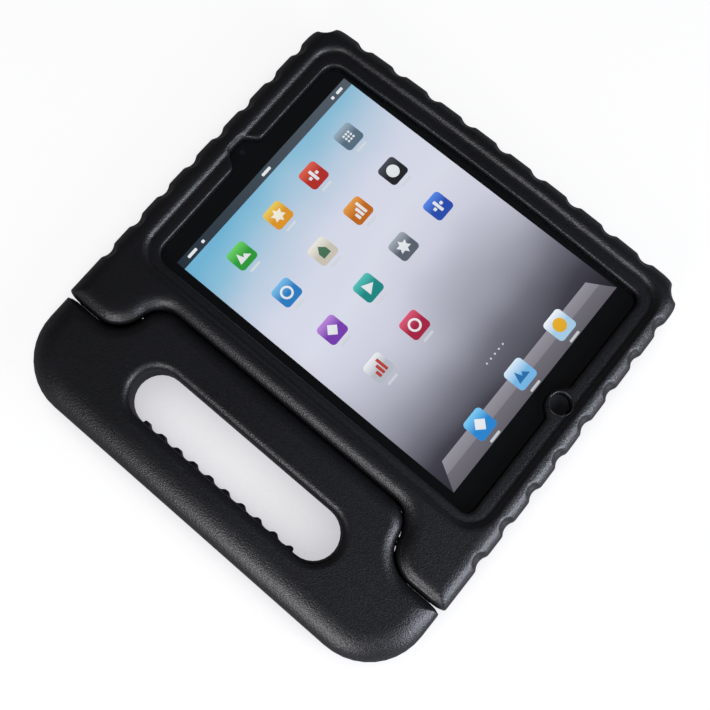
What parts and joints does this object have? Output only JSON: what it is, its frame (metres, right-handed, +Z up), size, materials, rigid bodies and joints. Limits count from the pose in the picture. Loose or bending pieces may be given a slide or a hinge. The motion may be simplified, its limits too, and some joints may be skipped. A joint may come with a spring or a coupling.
{
  "type": "rugged tablet case",
  "caption": "Thick moulded foam case with a lip round the screen, scalloped bumper and a hinged carrying handle that folds back as a stand, holding a slim tablet.",
  "frame": {"origin": "bottom centre of the whole object, on the flat back of the case", "axes": "+X from the tablet's camera end to its home-button end, +Y from the handle to the far long side, +Z up out of the screen"},
  "size_m": [0.2666, 0.2779, 0.026],
  "materials": {
    "foam": "moulded EVA foam, matt, fine pebbled grain",
    "steel": "plated steel",
    "nylon": "moulded nylon",
    "aluminium": "bead-blasted, anodised",
    "glass": "polished cover glass, black printed border",
    "display": "lit display",
    "battery": "foil pouch",
    "board": "solder resist",
    "button": "polished, dished",
    "camera": "lens and housing"
  },
  "bodies": {
    "case": {"case_body": "foam", "hinge_pin_left": "steel", "hinge_pin_right": "steel", "hinge_socket_left": "nylon", "hinge_socket_right": "nylon", "tablet_rear_shell": "aluminium", "tablet_front_glass": "glass", "display_panel": "display", "battery_cell_1": "battery", "battery_cell_2": "battery", "battery_cell_3": "battery", "logic_board": "board", "home_button_switch": "steel", "rear_camera": "camera", "front_camera": "camera", "speaker": "nylon", "dock_connector": "nylon"},
    "handle": {"handle": "foam", "hinge_insert_left": "nylon", "hinge_insert_right": "nylon"},
    "home_button": {"home_button": "button"},
    "power_button": {"power_button": "aluminium"},
    "volume_rocker": {"volume_rocker": "aluminium"}
  },
  "joints": [
    {"name": "handle_hinge", "type": "hinge", "parent": "case", "child": "handle", "pos_m": [0, -0.07345, 0.013], "axis": [1, 0, 0], "range_deg": [0, 90]},
    {"name": "home_button_press", "type": "slide", "parent": "case", "child": "home_button", "axis": [0, 0, -1], "range_m": [0, 0.0003], "stiffness_N_per_m": 800},
    {"name": "power_button_press", "type": "slide", "parent": "case", "child": "power_button", "axis": [1, 0, 0], "range_m": [0, 0.0003], "stiffness_N_per_m": 800},
    {"name": "volume_rocker_tilt", "type": "hinge", "parent": "case", "child": "volume_rocker", "pos_m": [-0.0795, 0.12985, 0.01385], "axis": [0, 0, 1], "range_deg": [-1.1, 1.1], "stiffness_Nm_per_rad": 0.1}
  ]
}
